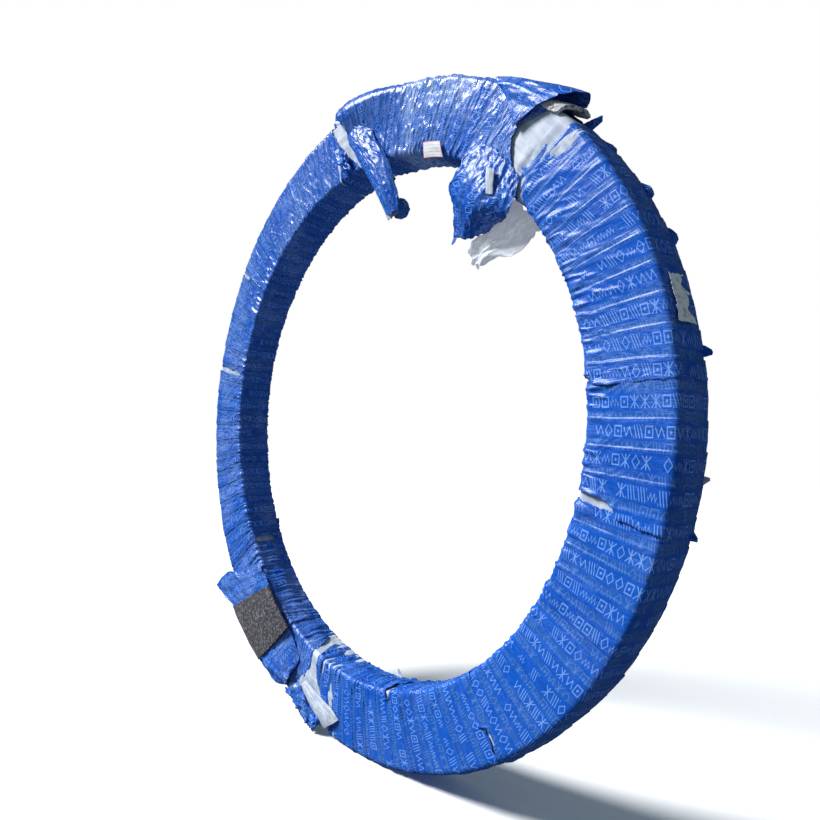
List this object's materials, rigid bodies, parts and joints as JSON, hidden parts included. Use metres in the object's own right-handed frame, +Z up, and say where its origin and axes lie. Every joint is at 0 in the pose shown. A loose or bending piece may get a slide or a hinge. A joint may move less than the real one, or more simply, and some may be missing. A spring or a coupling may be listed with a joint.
{
  "type": "slewing ring bearing",
  "caption": "Internal-gear ball slewing ring standing upright, wound in overlapped blue film over a white cloth liner, with loose flaps, felt pads and labels.",
  "frame": {"origin": "middle of the flat where the wrap rests on the floor, straight below the ring's centre", "axes": "+Y along the ring's axis, from its front to its back; +Z up; +X to the right seen from the front"},
  "size_m": [1.3342, 0.1049, 1.3342],
  "materials": {
    "ring_steel": "turned and drilled steel, lightly oiled",
    "gear_steel": "turned steel with milled teeth, lightly oiled",
    "ball_steel": "polished bearing balls with dark spacers between them",
    "seal_rubber": "black nitrile rubber",
    "plug_steel": "ground steel",
    "liner_cloth": "white woven packing cloth",
    "blue_film": "glossy blue film, wound in overlapped turns, with light blue marks",
    "grey_felt": "recycled grey felt with pale flecks",
    "label_paper": "white paper label"
  },
  "bodies": {
    "root": {"outer_ring": "ring_steel", "front_seal": "seal_rubber", "loading_plug": "plug_steel", "plug_taper_pin": "plug_steel", "grease_port_plug_1": "plug_steel", "grease_port_plug_2": "plug_steel", "grease_port_plug_3": "plug_steel", "grease_port_plug_4": "plug_steel", "liner_sleeve_1": "liner_cloth", "liner_sleeve_2": "liner_cloth", "liner_sleeve_3": "liner_cloth", "liner_sleeve_4": "liner_cloth", "wrap_section_1": "blue_film", "wrap_section_2": "blue_film", "wrap_section_3": "blue_film", "wrap_section_4": "blue_film", "wrap_section_5": "blue_film", "lower_patch_wrap": "blue_film", "wrap_section_6": "blue_film", "wrap_section_7": "blue_film", "wrap_section_8": "blue_film", "wrap_section_9": "blue_film", "upper_patch_wrap": "blue_film", "pointed_flap": "blue_film", "rolled_flap": "blue_film", "hanging_flap": "blue_film", "lower_flap": "blue_film", "twisted_tail": "blue_film", "liner_tail": "liner_cloth", "liner_corner": "liner_cloth", "felt_pad_lower": "grey_felt", "felt_pad_upper": "grey_felt", "paper_label": "label_paper", "torn_label": "label_paper"},
    "inner_ring": {"inner_gear_ring": "gear_steel", "back_seal": "seal_rubber"},
    "ball_set": {"ball_train_1": "ball_steel", "ball_train_2": "ball_steel", "ball_train_3": "ball_steel", "ball_train_4": "ball_steel", "ball_train_5": "ball_steel", "ball_train_6": "ball_steel"}
  },
  "joints": [
    {"name": "inner_ring_turn", "type": "hinge", "parent": "root", "child": "inner_ring", "pos_m": [0, 0, 0.66709], "axis": [0, 1, 0], "continuous": true},
    {"name": "ball_set_orbit", "type": "hinge", "parent": "root", "child": "ball_set", "pos_m": [0, 0, 0.66709], "axis": [0, 1, 0], "continuous": true}
  ],
  "couplings": [
    {"joint": "ball_set_orbit", "follows": "inner_ring_turn", "ratio": 0.4889}
  ]
}
